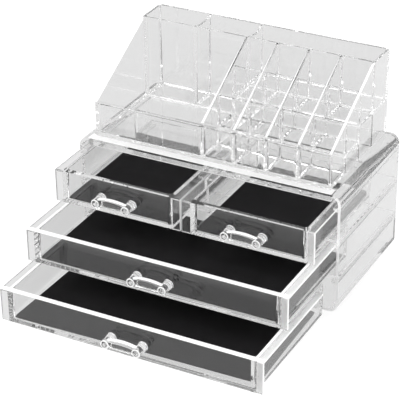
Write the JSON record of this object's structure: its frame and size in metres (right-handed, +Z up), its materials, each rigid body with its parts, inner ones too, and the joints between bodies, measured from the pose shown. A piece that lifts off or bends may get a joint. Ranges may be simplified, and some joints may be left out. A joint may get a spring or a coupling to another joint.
{
  "type": "makeup organizer with drawers",
  "caption": "Clear acrylic drawer cabinet with lined pull-out drawers, carrying a divided open tray with a slanted front and stepped lipstick cells.",
  "frame": {"origin": "centre of the cabinet's underside, on the surface it stands on", "axes": "+Z up; the drawers' fronts face -Y; +X to the right seen from the front"},
  "size_m": [0.24, 0.2692, 0.1845],
  "materials": {
    "cabinet_acrylic": "clear polished acrylic",
    "drawer_acrylic": "clear polished acrylic",
    "handle_acrylic": "clear polished acrylic",
    "tray_acrylic": "clear polished acrylic",
    "pad_fleece": "short black fleece on a thin foam"
  },
  "bodies": {
    "cabinet": {"cabinet_shell": "cabinet_acrylic", "cabinet_rim": "cabinet_acrylic", "cabinet_back": "cabinet_acrylic", "centre_rail": "cabinet_acrylic", "runners_lower": "cabinet_acrylic", "runners_middle": "cabinet_acrylic", "runners_upper": "cabinet_acrylic", "shelf_lower": "cabinet_acrylic", "shelf_upper": "cabinet_acrylic"},
    "small_left_drawer": {"small_left_body": "drawer_acrylic", "small_left_front": "drawer_acrylic", "small_left_handle": "handle_acrylic", "small_left_pad": "pad_fleece"},
    "small_right_drawer": {"small_right_body": "drawer_acrylic", "small_right_front": "drawer_acrylic", "small_right_handle": "handle_acrylic", "small_right_pad": "pad_fleece"},
    "middle_drawer": {"middle_drawer_body": "drawer_acrylic", "middle_drawer_front": "drawer_acrylic", "middle_drawer_handle": "handle_acrylic", "middle_drawer_pad": "pad_fleece"},
    "bottom_drawer": {"bottom_drawer_body": "drawer_acrylic", "bottom_drawer_front": "drawer_acrylic", "bottom_drawer_handle": "handle_acrylic", "bottom_drawer_pad": "pad_fleece"},
    "top_tray": {"tray_back_wall": "tray_acrylic", "tray_front_wall": "tray_acrylic", "tray_middle_wall": "tray_acrylic", "tray_side_left": "tray_acrylic", "tray_side_right": "tray_acrylic", "tray_floor": "tray_acrylic", "back_divider_left": "tray_acrylic", "back_divider_right": "tray_acrylic", "section_divider": "tray_acrylic", "lipstick_divider_1": "tray_acrylic", "lipstick_divider_2": "tray_acrylic", "lipstick_divider_3": "tray_acrylic", "row_wall_2": "tray_acrylic", "row_wall_3": "tray_acrylic", "tier_floor_first": "tray_acrylic", "tier_floor_second": "tray_acrylic", "tier_floor_third": "tray_acrylic", "tier_floor_back": "tray_acrylic"}
  },
  "joints": [
    {"name": "small_left_slide", "type": "slide", "parent": "cabinet", "child": "small_left_drawer", "axis": [0, -1, 0], "range_m": [-0.0413, 0.0537]},
    {"name": "small_right_slide", "type": "slide", "parent": "cabinet", "child": "small_right_drawer", "axis": [0, -1, 0], "range_m": [-0.0413, 0.0537]},
    {"name": "middle_slide", "type": "slide", "parent": "cabinet", "child": "middle_drawer", "axis": [0, -1, 0], "range_m": [-0.0885, 0.0115]},
    {"name": "bottom_slide", "type": "slide", "parent": "cabinet", "child": "bottom_drawer", "axis": [0, -1, 0], "range_m": [-0.1311, 0]},
    {"name": "tray_lift", "type": "slide", "parent": "cabinet", "child": "top_tray", "axis": [0, 0, 1], "range_m": [0, 0.08]}
  ]
}
